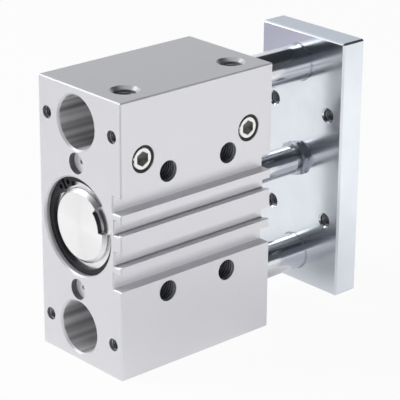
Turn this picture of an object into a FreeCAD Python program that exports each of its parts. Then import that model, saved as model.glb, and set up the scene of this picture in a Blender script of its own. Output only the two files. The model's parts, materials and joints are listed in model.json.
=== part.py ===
"""Guided compact pneumatic cylinder with a yoke plate.

Millimetres. X runs along the stroke, from the rear face of the housing towards the yoke plate.
The slotted side faces -Y and +Z is up. The origin is the middle of the rear face.
The model stands at full extension.
"""

import FreeCAD, Part
import math
import os

from FreeCAD import Vector

# Housing block
housing_width = 64.0
housing_height = 148.0
edge_chamfer = 0.6

# Cylinder and piston
stroke = 50.0
bore_diameter = 50.0
cylinder_offset = 2.5
piston_length = 18.0
piston_side_gap = 0.3
stop_gap = 0.3

# Caps in both ends of the centre bore
seat_diameter = 52.0
mouth_chamfer = 0.9
ring_depth = 2.9
ring_groove_depth = 1.1
ring_thickness = 2.0
ring_side_gap = 0.15
ring_width = 4.0
ring_turn = 126.0
ring_gap_angle = 4.0
lug_length = 6.4
lug_hole_diameter = 2.6
lug_angle = 13.5
cap_flange_length = 7.6
cap_boss_diameter = 39.4
cap_boss_chamfer = 1.9
cap_boss_recess = 1.6
cap_notch_radius = 14.5
cap_notch_angle = 43.0
notch_turn = 24.0
cap_spigot_diameter = 40.0
cap_spigot_length = 3.0
pad_inner_diameter = 27.0
pad_outer_diameter = 37.0
pad_recess = 2.0
pad_proud = 1.0
o_ring_section = 2.0
o_ring_groove_width = 2.6
o_ring_squeeze = 0.2
o_ring_flat = 0.9

# Piston rod, its bearing and its fastening
piston_rod_diameter = 16.0
rod_bush_wall = 2.0
rod_bush_length = 11.0
rod_hub_wall = 2.5
hub_room = 1.0
rod_seal_diameter = 25.0
rod_seal_length = 4.2
rod_seal_inset = 5.0
rod_thread_diameter = 12.0
rod_thread_recess = 2.0
rod_end_chamfer = 1.0
lock_nut_width = 18.0
lock_nut_thickness = 3.2
lock_nut_turn = 14.0
thread_run_out = 2.2
nut_chamfer_angle = 30.0

# Piston
piston_spigot_diameter = 10.0
piston_nut_width = 16.0
piston_nut_thickness = 5.0
piston_nut_inset = 0.5
piston_nut_room = 1.2
piston_seal_width = 3.2
piston_seal_depth = 4.0
piston_seal_land = 1.2
seal_lip_depth = 1.2
guide_ring_width = 3.0
guide_ring_depth = 1.8
magnet_width = 3.6
magnet_depth = 4.5
rod_seat_depth = 2.0

# Guide rods
guide_spacing = 111.0
guide_bore_diameter = 28.0
guide_bore_chamfer = 1.0
guide_rod_diameter = 20.0
guide_rod_rear_inset = 2.6
guide_rod_chamfer = 1.5
guide_bush_length = 20.0
guide_bush_gap = 3.0
guide_wiper_length = 4.0
guide_wiper_inset = 0.6
wiper_lip_depth = 1.5

# Yoke plate
plate_width = 62.0
plate_height = 146.0
plate_thickness = 16.0
plate_chamfer = 1.0
retracted_gap = 3.4
plate_hole_pitch_y = 41.0
plate_hole_pitch_z = 61.0
plate_hole_diameter = 6.8
plate_countersink = 0.9
rod_recess_depth = 2.0
rod_recess_chamfer = 0.8
screw_diameter = 8.0
screw_head_diameter = 13.0
screw_head_height = 8.0
screw_head_chamfer = 0.6
screw_socket_width = 6.0
screw_socket_depth = 4.0
screw_length = 30.0
counterbore_room = 0.5
screw_head_inset = 0.6
tap_extra_depth = 3.0

# Rear face holes
rear_hole_pitch_y = 50.6
rear_hole_pitch_z = 111.0
rear_hole_diameter = 6.8
rear_hole_depth = 18.0
locating_hole_height = 34.2
locating_hole_diameter = 11.2
locating_hole_depth = 3.6
locating_pilot_diameter = 2.4
locating_pilot_depth = 2.5

# Through holes across the block
side_hole_pitch_x = 40.4
side_hole_pitch_z = 64.8
side_hole_diameter = 11.2
side_hole_thread_depth = 18.0
side_hole_waist_diameter = 9.0

# Air ports on top, and blanked ports on the side
port_lateral = 16.5
rear_port_inset = 15.9
front_port_inset = 15.1
port_diameter = 11.8
port_depth = 11.5
port_countersink = 1.7
air_passage_diameter = 4.0
plug_height = 42.6
rear_plug_inset = 14.4
front_plug_inset = 16.6
plug_thread_diameter = 13.0
plug_neck_diameter = 12.0
plug_length = 10.0
plug_recess = 0.4
plug_edge_chamfer = 0.6
plug_socket_width = 7.0
plug_socket_depth = 5.0
plug_seat_diameter = 14.4
plug_seat_depth = 1.6
plug_seal_thickness = 1.0

# Grooves along the slotted side
plain_groove_height = 20.4
plain_groove_width = 8.8
plain_groove_depth = 6.4
sensor_slot_height = 8.4
sensor_slot_mouth = 6.4
sensor_slot_width = 7.8
sensor_slot_lip = 2.4
sensor_slot_depth = 5.5

# Clearances
running_gap = 0.05
static_gap = 0.02
overcut = 1.0

# Places along the stroke
ring_groove_width = ring_thickness + ring_side_gap
shoulder_depth = ring_depth + ring_groove_width + cap_flange_length
stop_depth = shoulder_depth + cap_spigot_length + pad_proud
housing_length = 2 * stop_depth + 2 * stop_gap + piston_length + stroke
front_stop = housing_length - stop_depth
piston_front = front_stop - stop_gap
piston_rear = piston_front - piston_length
piston_split = piston_front - piston_length / 2
plate_inner = housing_length + retracted_gap + stroke
plate_outer = plate_inner + plate_thickness
guide_heights = (guide_spacing / 2, -guide_spacing / 2)
side_face = -housing_width / 2
axis_point = Vector(0, cylinder_offset, 0)

# Radii that several pieces share
bore_radius = bore_diameter / 2
seat_radius = seat_diameter / 2
cap_radius = seat_radius - static_gap
groove_radius = seat_radius + ring_groove_depth
boss_radius = cap_boss_diameter / 2
spigot_radius = cap_spigot_diameter / 2
o_ring_groove_radius = seat_radius - o_ring_section + o_ring_squeeze
rod_radius = piston_rod_diameter / 2
bush_inner_radius = rod_radius + running_gap
bush_outer_radius = rod_radius + rod_bush_wall
hub_radius = bush_outer_radius + rod_hub_wall
piston_radius = bore_radius - piston_side_gap
rubbing_radius = bore_radius - running_gap
seal_groove_radius = bore_radius - piston_seal_depth
guide_rod_radius = guide_rod_diameter / 2
guide_bore_radius = guide_bore_diameter / 2


def box(x0, x1, y0, y1, z0, z1):
    """Block between two corners."""
    return Part.makeBox(x1 - x0, y1 - y0, z1 - z0, Vector(x0, y0, z0))


def round_bar(radius, x0, x1, centre=axis_point):
    """Cylinder along the stroke about a centre line."""
    return Part.makeCylinder(radius, x1 - x0, Vector(x0, centre.y, centre.z), Vector(1, 0, 0))


def drill(radius, start, direction, depth):
    """Cylinder from a start point along a direction."""
    return Part.makeCylinder(radius, depth, start, direction)


def countersink(radius, size, start, direction):
    """Cone that breaks a hole's mouth by the given size at 45 degrees."""
    wide = start - direction * overcut
    return Part.makeCone(radius + size + overcut, radius, size + overcut, wide, direction)


def turned(profile, centre=axis_point):
    """Solid of revolution of (x, radius) points about a line along the stroke."""
    points = [Vector(x, centre.y, centre.z + radius) for x, radius in profile]
    face = Part.Face(Part.makePolygon(points + points[:1]))
    return face.revolve(centre, Vector(1, 0, 0), 360)


def hexagon(width, x0, x1, centre=axis_point, direction=Vector(1, 0, 0), turn=0.0):
    """Hexagonal prism, given across its flats, from x0 to x1 along a direction, turned in degrees."""
    corner = width / math.sqrt(3)
    across = Vector(0, 0, 1)
    side = direction.cross(across)
    base = centre + direction * x0
    angles = [math.radians(60 * k + turn) for k in range(6)]
    ring = [base + (across * math.cos(a) + side * math.sin(a)) * corner for a in angles]
    return Part.Face(Part.makePolygon(ring + ring[:1])).extrude(direction * (x1 - x0))


def nut_blank(width, x0, x1, bevel_x0=True, bevel_x1=True, turn=0.0):
    """Hexagon whose corners are turned off at 30 degrees on the chosen faces."""
    corner = width / math.sqrt(3)
    face_radius = width / 2
    drop = (corner - face_radius) * math.tan(math.radians(nut_chamfer_angle))
    low = face_radius if bevel_x0 else corner
    high = face_radius if bevel_x1 else corner
    envelope = turned([(x0, 0), (x0, low), (x0 + drop, corner), (x1 - drop, corner), (x1, high), (x1, 0)])
    return hexagon(width, x0, x1, turn=turn).common(envelope)


def sector(inner, outer, start_angle, end_angle, x0, x1):
    """Slice of a flat ring about the cylinder axis. Angles run from -Y towards +Z."""
    def at(radius, angle):
        a = math.radians(angle)
        return Vector(x0, cylinder_offset - radius * math.cos(a), radius * math.sin(a))
    middle = (start_angle + end_angle) / 2
    edges = [
        Part.Arc(at(outer, start_angle), at(outer, middle), at(outer, end_angle)).toShape(),
        Part.LineSegment(at(outer, end_angle), at(inner, end_angle)).toShape(),
        Part.Arc(at(inner, end_angle), at(inner, middle), at(inner, start_angle)).toShape(),
        Part.LineSegment(at(inner, start_angle), at(outer, start_angle)).toShape(),
    ]
    return Part.Face(Part.Wire(edges)).extrude(Vector(x1 - x0, 0, 0))


def mirrored(shape):
    """The same shape turned end for end about the middle of the housing."""
    return shape.mirror(Vector(housing_length / 2, 0, 0), Vector(1, 0, 0))


def four(pitch_y, pitch_z):
    """Corners of a rectangle in the YZ plane, about the block's middle."""
    return [(sy * pitch_y / 2, sz * pitch_z / 2) for sy in (-1, 1) for sz in (-1, 1)]


# Housing

def end_bore():
    """Stepped mouth of the centre bore: lead-in, cap seat and retaining ring groove."""
    groove_end = ring_depth + ring_groove_width
    return turned([
        (-overcut, 0),
        (-overcut, seat_radius + mouth_chamfer),
        (0, seat_radius + mouth_chamfer),
        (mouth_chamfer, seat_radius),
        (ring_depth, seat_radius),
        (ring_depth, groove_radius),
        (groove_end, groove_radius),
        (groove_end, seat_radius),
        (shoulder_depth, seat_radius),
        (shoulder_depth, 0),
    ])


def guide_bores():
    """Two long bores for the guide rods, broken at both mouths."""
    tools = []
    for height in guide_heights:
        centre = Vector(0, cylinder_offset, height)
        tools.append(round_bar(guide_bore_radius, -overcut, housing_length + overcut, centre))
        tools.append(countersink(guide_bore_radius, guide_bore_chamfer, centre, Vector(1, 0, 0)))
        front = centre + Vector(housing_length, 0, 0)
        tools.append(countersink(guide_bore_radius, guide_bore_chamfer, front, Vector(-1, 0, 0)))
    return tools


def rear_face_holes():
    """Tapped corner holes and the two shallow locating holes on the rear face."""
    inward = Vector(1, 0, 0)
    tools = []
    for y, z in four(rear_hole_pitch_y, rear_hole_pitch_z):
        tools.append(drill(rear_hole_diameter / 2, Vector(0, y, z), inward, rear_hole_depth))
    for z in (locating_hole_height, -locating_hole_height):
        mouth = Vector(0, cylinder_offset, z)
        tools.append(drill(locating_hole_diameter / 2, mouth, inward, locating_hole_depth))
        pilot_depth = locating_hole_depth + locating_pilot_depth
        tools.append(drill(locating_pilot_diameter / 2, mouth, inward, pilot_depth))
    return tools


def side_holes():
    """Mounting holes right through the block, tapped at both ends and waisted between."""
    tools = []
    for dx in (-side_hole_pitch_x / 2, side_hole_pitch_x / 2):
        for dz in (-side_hole_pitch_z / 2, side_hole_pitch_z / 2):
            x = housing_length / 2 + dx
            for sign in (-1, 1):
                mouth = Vector(x, sign * housing_width / 2, dz)
                inward = Vector(0, -sign, 0)
                tools.append(drill(side_hole_diameter / 2, mouth, inward, side_hole_thread_depth))
            start = Vector(x, side_face, dz)
            tools.append(drill(side_hole_waist_diameter / 2, start, Vector(0, 1, 0), housing_width))
    return tools


def port_places():
    """Rear and front places along the stroke of the top ports and of the side plugs."""
    ports = (rear_port_inset, housing_length - front_port_inset)
    plugs = (rear_plug_inset, housing_length - front_plug_inset)
    return ports, plugs


def air_ports():
    """Tapped ports on top, their drilled passages to the bore, and the blanked side ports."""
    tools = []
    ports, plugs = port_places()
    down = Vector(0, 0, -1)
    inward = Vector(0, 1, 0)
    for x in ports:
        mouth = Vector(x, -port_lateral, housing_height / 2)
        tools.append(drill(port_diameter / 2, mouth, down, port_depth))
        tools.append(countersink(port_diameter / 2, port_countersink, mouth, down))
        tools.append(drill(air_passage_diameter / 2, mouth, down, housing_height / 2))
    for x in plugs:
        mouth = Vector(x, side_face, plug_height)
        thread_depth = plug_recess + plug_length + overcut
        tools.append(drill(plug_thread_diameter / 2, mouth, inward, thread_depth))
        tools.append(drill(plug_seat_diameter / 2, mouth, inward, plug_seat_depth))
        passage_depth = housing_width / 2 - port_lateral
        tools.append(drill(air_passage_diameter / 2, mouth, inward, passage_depth))
    return tools


def side_grooves():
    """Two plain grooves and two undercut sensor slots along the whole slotted side."""
    tools = []
    for sign in (-1, 1):
        z = sign * plain_groove_height
        half = plain_groove_width / 2
        tools.append(box(-overcut, housing_length + overcut, side_face - overcut,
                         side_face + plain_groove_depth, z - half, z + half))
        tools.append(sensor_slot(sign * sensor_slot_height))
    return tools


def sensor_slot(z):
    """Cutter for one undercut slot, drawn as a section and run past both end faces."""
    mouth = sensor_slot_mouth / 2
    wide = sensor_slot_width / 2
    lip = side_face + sensor_slot_lip
    floor = side_face + sensor_slot_depth
    section = [(side_face - overcut, -mouth), (lip, -mouth), (lip, -wide), (floor, -wide),
               (floor, wide), (lip, wide), (lip, mouth), (side_face - overcut, mouth)]
    points = [Vector(-overcut, y, z + dz) for y, dz in section]
    face = Part.Face(Part.makePolygon(points + points[:1]))
    return face.extrude(Vector(housing_length + 2 * overcut, 0, 0))


def make_housing():
    """Grooved extrusion, broken round both sawn ends and along its corners, with its bores and holes."""
    block = box(0, housing_length, -housing_width / 2, housing_width / 2,
                -housing_height / 2, housing_height / 2).cut(side_grooves())
    sawn = [e for e in block.Edges if e.BoundBox.XLength < overcut]
    corners = [e for e in block.Edges if abs(e.CenterOfMass.z) > housing_height / 2 - overcut]
    block = block.makeChamfer(edge_chamfer, sawn + [e for e in corners if e.BoundBox.XLength > overcut])
    bore = round_bar(bore_radius, shoulder_depth, housing_length - shoulder_depth)
    tools = [bore, end_bore(), mirrored(end_bore())]
    tools += guide_bores() + rear_face_holes() + side_holes() + air_ports()
    return block.cut(tools).removeSplitter()


# Caps and what sits in them

def cap_flange_profile():
    """Outer half-section of a cap from its boss face to its spigot face."""
    flange_start = ring_depth + ring_groove_width
    groove_start = flange_start + (cap_flange_length - o_ring_groove_width) / 2
    groove_end = groove_start + o_ring_groove_width
    spigot_end = shoulder_depth + cap_spigot_length
    return [
        (cap_boss_recess, boss_radius - cap_boss_chamfer),
        (cap_boss_recess + cap_boss_chamfer, boss_radius),
        (flange_start, boss_radius),
        (flange_start, cap_radius),
        (groove_start, cap_radius),
        (groove_start, o_ring_groove_radius),
        (groove_end, o_ring_groove_radius),
        (groove_end, cap_radius),
        (shoulder_depth, cap_radius),
        (shoulder_depth, spigot_radius),
        (spigot_end, spigot_radius),
        (spigot_end, pad_outer_diameter / 2),
        (spigot_end - pad_recess, pad_outer_diameter / 2),
        (spigot_end - pad_recess, pad_inner_diameter / 2),
        (spigot_end, pad_inner_diameter / 2),
    ]


def pulling_notch():
    """Cut in a cap's boss where a tool takes hold to draw the cap out."""
    half = cap_notch_angle / 2
    return sector(cap_notch_radius, seat_radius, notch_turn - half, notch_turn + half,
                  cap_boss_recess - overcut, ring_depth + ring_groove_width)


def make_rear_end_cap():
    """Plain turned cap that closes the rear of the bore."""
    spigot_end = shoulder_depth + cap_spigot_length
    outline = [(cap_boss_recess, 0)] + cap_flange_profile() + [(spigot_end, 0)]
    return turned(outline).cut(pulling_notch())


def make_front_bearing_cap():
    """Turned cap with a hub that holds the rod bush, and a pocket for the rod seal."""
    spigot_end = shoulder_depth + cap_spigot_length
    seal_floor = cap_boss_recess + rod_seal_inset + rod_seal_length
    hub_end = seal_floor + rod_bush_length
    outline = [(cap_boss_recess, rod_seal_diameter / 2)] + cap_flange_profile()
    outline += [
        (spigot_end, hub_radius),
        (hub_end, hub_radius),
        (hub_end, bush_outer_radius),
        (seal_floor, bush_outer_radius),
        (seal_floor, rod_seal_diameter / 2),
    ]
    return mirrored(turned(outline).cut(pulling_notch()))


def make_rod_bush():
    """Plain bearing that guides the piston rod."""
    start = cap_boss_recess + rod_seal_inset + rod_seal_length
    outer = bush_outer_radius - static_gap
    end = start + rod_bush_length
    inner = bush_inner_radius
    return mirrored(turned([(start, inner), (start, outer), (end, outer), (end, inner)]))


def make_rod_seal():
    """Rod seal and wiper in one moulding, with a lip that faces outwards."""
    start = cap_boss_recess + rod_seal_inset
    end = start + rod_seal_length
    outer = rod_seal_diameter / 2 - static_gap
    lip_root = (bush_inner_radius + outer) / 2
    return mirrored(turned([
        (start, bush_inner_radius), (start + wiper_lip_depth, lip_root), (start, outer),
        (end, outer), (end, bush_inner_radius),
    ]))


def make_retaining_ring():
    """Internal retaining ring with two drilled lugs beside its gap."""
    x0 = ring_depth + ring_side_gap
    x1 = x0 + ring_thickness
    outer = groove_radius - static_gap
    inner = outer - ring_width
    lug_start = ring_gap_angle / 2
    opening = sector(inner, outer, ring_turn + lug_start, ring_turn + 360 - lug_start, x0, x1)
    lugs = []
    holes = []
    for sign in (-1, 1):
        angles = sorted((ring_turn + sign * lug_start, ring_turn + sign * (lug_start + lug_angle)))
        lugs.append(sector(outer - lug_length, outer, angles[0], angles[1], x0, x1))
        middle = math.radians(sum(angles) / 2)
        reach = outer - lug_length + lug_hole_diameter
        centre = Vector(0, cylinder_offset - reach * math.cos(middle), reach * math.sin(middle))
        holes.append(round_bar(lug_hole_diameter / 2, x0 - overcut, x1 + overcut, centre))
    return opening.fuse(lugs).removeSplitter().cut(holes)


def make_cap_o_ring():
    """O-ring in the cap's flange groove, squeezed flat against the groove's floor and the seat."""
    middle = ring_depth + ring_groove_width + cap_flange_length / 2
    half = o_ring_section / 2
    flat = o_ring_flat / 2
    inner = o_ring_groove_radius + static_gap
    outer = seat_radius - static_gap
    low = (inner + outer) / 2 - flat
    high = (inner + outer) / 2 + flat
    return turned([
        (middle - flat, inner), (middle + flat, inner), (middle + half, low), (middle + half, high),
        (middle + flat, outer), (middle - flat, outer), (middle - half, high), (middle - half, low),
    ])


def make_cushion_pad():
    """Elastic ring that stops the piston."""
    start = shoulder_depth + cap_spigot_length - pad_recess
    inner = pad_inner_diameter / 2 + static_gap
    outer = pad_outer_diameter / 2 - static_gap
    return turned([(start, inner), (start, outer), (stop_depth, outer), (stop_depth, inner)])


# Side plugs

def make_plug(x):
    """Screw plug with a hexagon socket, its face just below the slotted side."""
    face = side_face + plug_recess
    neck_end = side_face + plug_seat_depth
    end = face + plug_length
    neck = plug_neck_diameter / 2
    thread = plug_thread_diameter / 2 - static_gap
    section = [(0, face), (neck - plug_edge_chamfer, face), (neck, face + plug_edge_chamfer),
               (neck, neck_end), (thread, neck_end), (thread, end - plug_edge_chamfer),
               (thread - plug_edge_chamfer, end), (0, end)]
    points = [Vector(x + radius, y, plug_height) for radius, y in section]
    body = Part.Face(Part.makePolygon(points + points[:1]))
    body = body.revolve(Vector(x, 0, plug_height), Vector(0, 1, 0), 360)
    centre = Vector(x, 0, plug_height)
    socket = hexagon(plug_socket_width, face - overcut, face + plug_socket_depth, centre, Vector(0, 1, 0))
    return body.cut(socket)


def make_plug_seal(x):
    """Flat sealing ring round the plug's neck."""
    bottom = Vector(x, side_face + plug_seat_depth, plug_height)
    outward = Vector(0, -1, 0)
    outer = drill(plug_seat_diameter / 2 - static_gap, bottom, outward, plug_seal_thickness)
    return outer.cut(drill(plug_neck_diameter / 2 + static_gap, bottom, outward, plug_seal_thickness))


# Guides

def guide_bush_starts():
    """Rear ends of the rear and front bush in a guide bore."""
    front = housing_length - guide_wiper_inset - guide_wiper_length - guide_bush_length
    return front - guide_bush_gap - guide_bush_length, front


def make_guide_bush(start, height):
    """Plain guide bush pressed into a guide bore."""
    outer = guide_bore_radius - static_gap
    inner = guide_rod_radius + running_gap
    end = start + guide_bush_length
    return turned([(start, inner), (start, outer), (end, outer), (end, inner)],
                  Vector(0, cylinder_offset, height))


def make_guide_wiper(height):
    """Wiper ring at the front mouth of a guide bore, with a lip on its outer face."""
    end = housing_length - guide_wiper_inset
    start = end - guide_wiper_length
    inner = guide_rod_radius + running_gap
    outer = guide_bore_radius - static_gap
    lip_root = (inner + outer) / 2
    return turned([(start, inner), (start, outer), (end, outer), (end - wiper_lip_depth, lip_root),
                   (end, inner)],
                  Vector(0, cylinder_offset, height))


def make_guide_rod(height):
    """Ground guide rod, chamfered at its free end and tapped at the plate."""
    start = stroke + guide_rod_rear_inset
    end = plate_inner + rod_recess_depth
    centre = Vector(0, cylinder_offset, height)
    bar = turned([
        (start, 0), (start, guide_rod_radius - guide_rod_chamfer),
        (start + guide_rod_chamfer, guide_rod_radius),
        (end, guide_rod_radius), (end, 0),
    ], centre)
    tip = screw_seat() - screw_length - tap_extra_depth
    return bar.cut(round_bar(screw_diameter / 2 + static_gap, tip, end + overcut, centre))


def screw_seat():
    """Place of the counterbore floor that a guide rod screw bears on."""
    return plate_outer - screw_head_inset - screw_head_height


def make_guide_rod_screw(height):
    """Socket head screw from the plate's outer face into a guide rod."""
    centre = Vector(0, cylinder_offset, height)
    seat = screw_seat()
    top = seat + screw_head_height
    head = screw_head_diameter / 2
    shank = screw_diameter / 2
    screw = turned([
        (seat - screw_length, 0), (seat - screw_length, shank), (seat, shank), (seat, head),
        (top - screw_head_chamfer, head), (top, head - screw_head_chamfer), (top, 0),
    ], centre)
    return screw.cut(hexagon(screw_socket_width, top - screw_socket_depth, top + overcut, centre))


# Yoke plate

def make_yoke_plate():
    """Thick plate that ties the rods together, with tapped holes for the load."""
    plate = box(plate_inner, plate_outer, -plate_width / 2, plate_width / 2,
                -plate_height / 2, plate_height / 2)
    plate = plate.makeChamfer(plate_chamfer, plate.Edges)
    outward = Vector(1, 0, 0)
    hole = plate_hole_diameter / 2
    tools = []
    for y, z in four(plate_hole_pitch_y, plate_hole_pitch_z):
        inner = Vector(plate_inner, y, z)
        tools.append(drill(hole, inner, outward, plate_thickness))
        tools.append(countersink(hole, plate_countersink, inner, outward))
        tools.append(countersink(hole, plate_countersink, Vector(plate_outer, y, z), outward * -1))
    for height in guide_heights:
        centre = Vector(0, cylinder_offset, height)
        recess_end = plate_inner + rod_recess_depth
        recess = guide_rod_radius + static_gap
        mouth = Vector(plate_inner, cylinder_offset, height)
        tools.append(round_bar(recess, plate_inner - overcut, recess_end, centre))
        tools.append(countersink(recess, rod_recess_chamfer, mouth, outward))
        tools.append(round_bar(screw_diameter / 2 + counterbore_room, plate_inner, plate_outer, centre))
        tools.append(round_bar(screw_head_diameter / 2 + counterbore_room, screw_seat(),
                               plate_outer + overcut, centre))
    thread = rod_thread_diameter / 2 + static_gap
    tools.append(round_bar(thread, plate_inner - overcut, plate_outer + overcut))
    return plate.cut(tools)


# Piston and piston rod

def rod_places():
    """Piston rod's seat in the piston, thread start and thread end."""
    hub_end = housing_length - (cap_boss_recess + rod_seal_inset + rod_seal_length + rod_bush_length)
    seat = hub_end - hub_room - rod_seat_depth
    thread_start = plate_inner - lock_nut_thickness - thread_run_out
    return seat, thread_start, plate_outer - rod_thread_recess


def make_piston_rod():
    """Chromed rod with a piston spigot and a threaded plate end."""
    seat, thread_start, end = rod_places()
    spigot = piston_spigot_diameter / 2
    thread = rod_thread_diameter / 2
    spigot_end = piston_rear + piston_nut_inset
    return turned([
        (spigot_end, 0), (spigot_end, spigot), (seat, spigot), (seat, rod_radius),
        (thread_start - rod_end_chamfer, rod_radius), (thread_start, rod_radius - rod_end_chamfer),
        (thread_start, thread), (end - rod_end_chamfer, thread), (end, thread - rod_end_chamfer), (end, 0),
    ])


def make_lock_nut():
    """Thin nut that locks the piston rod's thread against the plate."""
    start = plate_inner - lock_nut_thickness
    blank = nut_blank(lock_nut_width, start, plate_inner, turn=lock_nut_turn)
    return blank.cut(round_bar(rod_thread_diameter / 2 + static_gap, start - overcut, plate_inner + overcut))


def piston_nut_seat():
    """Floor of the recess that the piston nut bears on."""
    return piston_rear + piston_nut_inset + piston_nut_thickness


def make_piston_nut():
    """Nut that clamps both piston halves on the rod's spigot."""
    seat = piston_nut_seat()
    start = seat - piston_nut_thickness
    blank = nut_blank(piston_nut_width, start, seat, bevel_x1=False)
    return blank.cut(round_bar(piston_spigot_diameter / 2 + static_gap, start - overcut, seat + overcut))


def make_piston_rear():
    """Rear half of the piston, with a seal groove and the guide ring groove."""
    seal_start = piston_rear + piston_seal_land
    seal_end = seal_start + piston_seal_width
    ring_start = seal_end + piston_seal_land
    ring_end = ring_start + guide_ring_width
    ring_floor = bore_radius - guide_ring_depth
    spigot = piston_spigot_diameter / 2 + static_gap
    recess = piston_nut_width / math.sqrt(3) + piston_nut_room
    return turned([
        (piston_rear, recess), (piston_rear, piston_radius), (seal_start, piston_radius),
        (seal_start, seal_groove_radius), (seal_end, seal_groove_radius), (seal_end, piston_radius),
        (ring_start, piston_radius), (ring_start, ring_floor),
        (ring_end, ring_floor), (ring_end, piston_radius),
        (piston_split, piston_radius), (piston_split, spigot), (piston_nut_seat(), spigot),
        (piston_nut_seat(), recess),
    ])


def make_piston_front():
    """Front half of the piston, with a seal groove, the magnet seat and room for the cap's hub."""
    seat = rod_places()[0]
    hub_floor = seat + rod_seat_depth
    magnet_end = piston_split + magnet_width
    magnet_floor = bore_radius - magnet_depth
    seal_end = piston_front - piston_seal_land
    seal_start = seal_end - piston_seal_width
    recess = hub_radius + hub_room
    spigot = piston_spigot_diameter / 2 + static_gap
    return turned([
        (piston_split, spigot), (piston_split, magnet_floor),
        (magnet_end, magnet_floor), (magnet_end, piston_radius),
        (seal_start, piston_radius), (seal_start, seal_groove_radius), (seal_end, seal_groove_radius),
        (seal_end, piston_radius), (piston_front, piston_radius), (piston_front, recess), (hub_floor, recess),
        (hub_floor, rod_radius + static_gap), (seat, rod_radius + static_gap), (seat, spigot),
    ])


def make_piston_seal(start, lip_sign):
    """Lip seal whose mouth faces the chamber it seals."""
    inner = seal_groove_radius + static_gap
    end = start + piston_seal_width
    open_side = start if lip_sign < 0 else end
    back = end if lip_sign < 0 else start
    lip_root = (inner + rubbing_radius) / 2
    return turned([(open_side, inner), (back, inner), (back, rubbing_radius), (open_side, rubbing_radius),
                   (open_side - lip_sign * seal_lip_depth, lip_root)])


def make_piston_guide_ring():
    """Wear ring that keeps the piston off the bore wall."""
    start = piston_rear + 2 * piston_seal_land + piston_seal_width
    inner = bore_radius - guide_ring_depth + static_gap
    end = start + guide_ring_width
    return turned([(start, inner), (start, rubbing_radius), (end, rubbing_radius), (end, inner)])


def make_magnet_ring():
    """Ring magnet clamped between the piston halves for the slot sensors."""
    inner = bore_radius - magnet_depth + static_gap
    end = piston_split + magnet_width
    return turned([(piston_split, inner), (piston_split, piston_radius), (end, piston_radius), (end, inner)])


def main():
    """Builds every piece and writes one file per node."""
    upper, lower = guide_heights
    rear_bush, front_bush = guide_bush_starts()
    rear_plug, front_plug = port_places()[1]
    rear_seal_start = piston_rear + piston_seal_land
    front_seal_start = piston_front - piston_seal_land - piston_seal_width
    screws = Part.makeCompound([make_guide_rod_screw(height) for height in guide_heights])
    pieces = {
        "housing": make_housing(),
        "rear_end_cap": make_rear_end_cap(),
        "rear_cap_o_ring": make_cap_o_ring(),
        "rear_retaining_ring": make_retaining_ring(),
        "rear_cushion_pad": make_cushion_pad(),
        "front_bearing_cap": make_front_bearing_cap(),
        "front_cap_o_ring": mirrored(make_cap_o_ring()),
        "front_retaining_ring": mirrored(make_retaining_ring()),
        "front_cushion_pad": mirrored(make_cushion_pad()),
        "rod_bush": make_rod_bush(),
        "rod_wiper_seal": make_rod_seal(),
        "rear_blanking_plug": make_plug(rear_plug),
        "front_blanking_plug": make_plug(front_plug),
        "rear_plug_seal": make_plug_seal(rear_plug),
        "front_plug_seal": make_plug_seal(front_plug),
        "upper_rear_guide_bush": make_guide_bush(rear_bush, upper),
        "upper_front_guide_bush": make_guide_bush(front_bush, upper),
        "lower_rear_guide_bush": make_guide_bush(rear_bush, lower),
        "lower_front_guide_bush": make_guide_bush(front_bush, lower),
        "upper_guide_wiper": make_guide_wiper(upper),
        "lower_guide_wiper": make_guide_wiper(lower),
        "upper_guide_rod": make_guide_rod(upper),
        "lower_guide_rod": make_guide_rod(lower),
        "guide_rod_screws": screws,
        "yoke_plate": make_yoke_plate(),
        "piston_rod": make_piston_rod(),
        "rod_lock_nut": make_lock_nut(),
        "piston_rear_half": make_piston_rear(),
        "piston_front_half": make_piston_front(),
        "piston_rear_seal": make_piston_seal(rear_seal_start, -1),
        "piston_front_seal": make_piston_seal(front_seal_start, 1),
        "piston_guide_ring": make_piston_guide_ring(),
        "piston_magnet_ring": make_magnet_ring(),
        "piston_nut": make_piston_nut(),
    }
    os.makedirs("parts", exist_ok=True)
    for name, shape in pieces.items():
        shape.exportStep(os.path.join("parts", name + ".step"))


main()
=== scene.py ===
"""Looks of a guided compact pneumatic cylinder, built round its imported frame.

Metres, in the part's own frame: X runs along the stroke towards the yoke plate, the slotted side
faces -Y and +Z is up. Sizes are read from the frame or written in millimetres and turned by MM.
"""

import json
import logging
import math
from dataclasses import dataclass
from enum import Enum
from typing import Any, Iterable

import bmesh
import bpy
from mathutils import Matrix, Vector


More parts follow.
